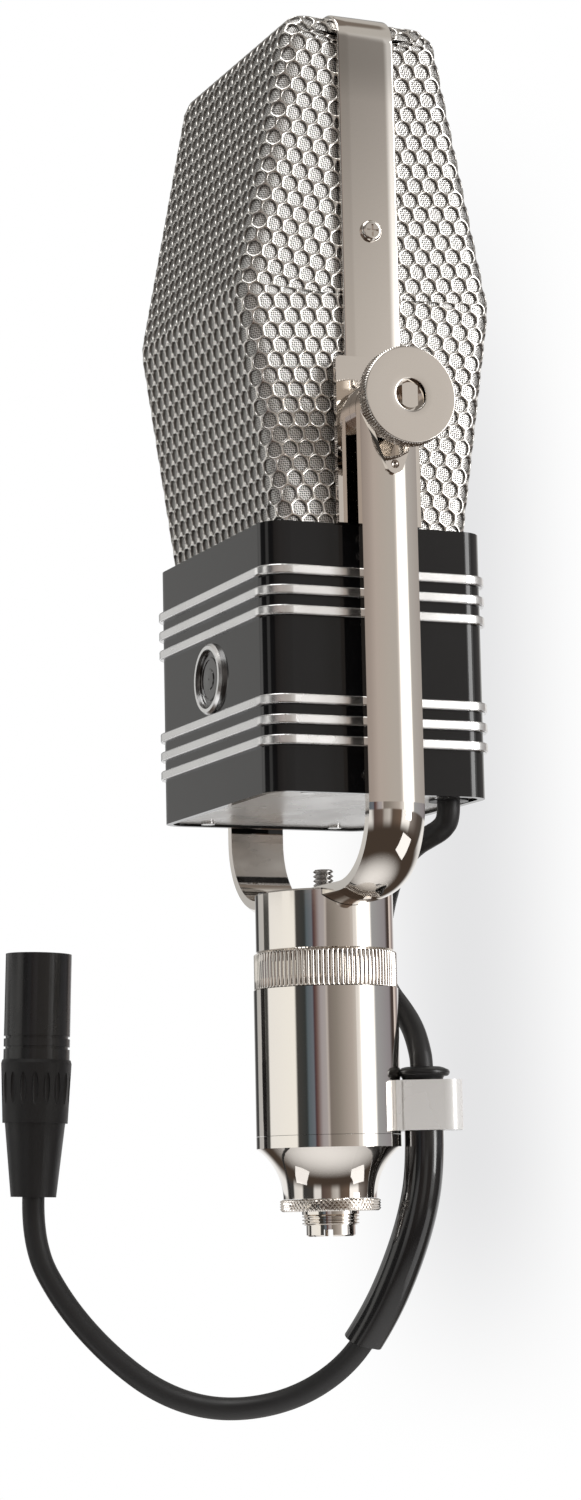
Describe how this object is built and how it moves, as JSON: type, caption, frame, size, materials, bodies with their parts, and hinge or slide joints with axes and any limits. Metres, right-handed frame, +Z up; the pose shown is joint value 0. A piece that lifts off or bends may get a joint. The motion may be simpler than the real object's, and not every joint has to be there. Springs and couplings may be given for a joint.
{
  "type": "ribbon microphone",
  "caption": "Side-address ribbon microphone: hexagonal perforated grille over a banded black base, tilting in a polished yoke on a stand shank, with captive cable and three-pin plug.",
  "frame": {"origin": "centre of the stand thread, at the mouth of the slotted adapter", "axes": "+Z up along the shank, front with the badge faces -Y, the yoke pivots lie on X"},
  "size_m": [0.1358, 0.1133, 0.3894],
  "materials": {
    "nickel": "polished warm nickel plate",
    "grille_nickel": "perforated sheet, bright nickel",
    "wire_cloth": "fine woven wire cloth",
    "black_enamel": "gloss black enamel",
    "bright_band": "satin bright trim",
    "plate_silver": "bright plate",
    "badge_black": "gloss black",
    "screw_steel": "plated steel",
    "black_rubber": "moulded rubber",
    "cable_jacket": "matt cable jacket",
    "sleeve_gloss": "glossy dark sleeve",
    "plug_black": "black plated shell",
    "plug_plastic": "moulded black plastic",
    "gold_pins": "gold-plated contacts",
    "magnet_iron": "magnet and soft iron",
    "ribbon_foil": "bare foil",
    "brass": "machined brass",
    "copper_coil": "enamelled winding",
    "board": "fibre board"
  },
  "bodies": {
    "stand": {"thread_adapter": "nickel", "foot_casting": "nickel", "barrel_bottom_cap": "nickel", "barrel": "nickel", "shock_spindle": "screw_steel", "shock_bush_lower": "black_rubber", "shock_bush_upper": "black_rubber", "spindle_nut": "screw_steel", "yoke_collar": "nickel", "yoke_stud": "screw_steel", "yoke_nut": "screw_steel", "yoke": "nickel", "cable_clip": "plate_silver", "clip_screw": "screw_steel", "cable_grommet": "black_rubber", "captive_lead": "cable_jacket", "free_cable": "cable_jacket", "cable_sleeve": "sleeve_gloss", "plug_boot": "plug_plastic", "plug_grip": "plug_plastic", "plug_chuck": "plug_plastic", "plug_shell": "plug_black", "plug_insert": "plug_plastic", "plug_pins": "gold_pins"},
    "head": {"pivot_stud_right": "nickel", "pivot_stud_left": "nickel", "pivot_washers": "nickel", "pivot_bracket_right": "nickel", "pivot_bracket_left": "nickel", "base_housing": "black_enamel", "base_bottom_plate": "plate_silver", "base_trim_bands": "bright_band", "badge_ring": "bright_band", "badge_disc": "badge_black", "base_side_screws": "screw_steel", "bottom_plate_screws": "screw_steel", "cable_gland": "black_rubber", "grille_strap": "nickel", "strap_screws": "nickel", "grille_front": "grille_nickel", "grille_rear": "grille_nickel", "wire_cloth_front": "wire_cloth", "wire_cloth_rear": "wire_cloth", "ribbon": "ribbon_foil", "pole_piece_right": "magnet_iron", "pole_piece_left": "magnet_iron", "horseshoe_magnet": "magnet_iron", "ribbon_clamp_lower": "brass", "ribbon_clamp_upper": "brass", "motor_frame": "brass", "motor_deck": "plate_silver", "transformer_core": "magnet_iron", "transformer_coil": "copper_coil", "terminal_board": "board"},
    "knob_right": {"knob_right": "nickel"},
    "knob_left": {"knob_left": "nickel"},
    "fluted_ring": {"fluted_lock_ring": "nickel"},
    "stand_ring": {"stand_lock_ring": "nickel"}
  },
  "joints": [
    {"name": "head_tilt", "type": "hinge", "parent": "stand", "child": "head", "pos_m": [0, 0, 0.2228], "axis": [1, 0, 0], "range_deg": [-20, 25], "deforming": ["captive_lead"]},
    {"name": "knob_right_turn", "type": "hinge", "parent": "stand", "child": "knob_right", "pos_m": [0.06, 0, 0.2228], "axis": [1, 0, 0], "range_deg": [-180, 180]},
    {"name": "knob_left_turn", "type": "hinge", "parent": "stand", "child": "knob_left", "pos_m": [-0.06, 0, 0.2228], "axis": [-1, 0, 0], "range_deg": [-180, 180]},
    {"name": "fluted_ring_turn", "type": "hinge", "parent": "stand", "child": "fluted_ring", "pos_m": [0, 0, 0.0731], "axis": [0, 0, 1], "continuous": true},
    {"name": "stand_ring_turn", "type": "hinge", "parent": "stand", "child": "stand_ring", "pos_m": [0, 0, 0.0085], "axis": [0, 0, 1], "continuous": true}
  ]
}
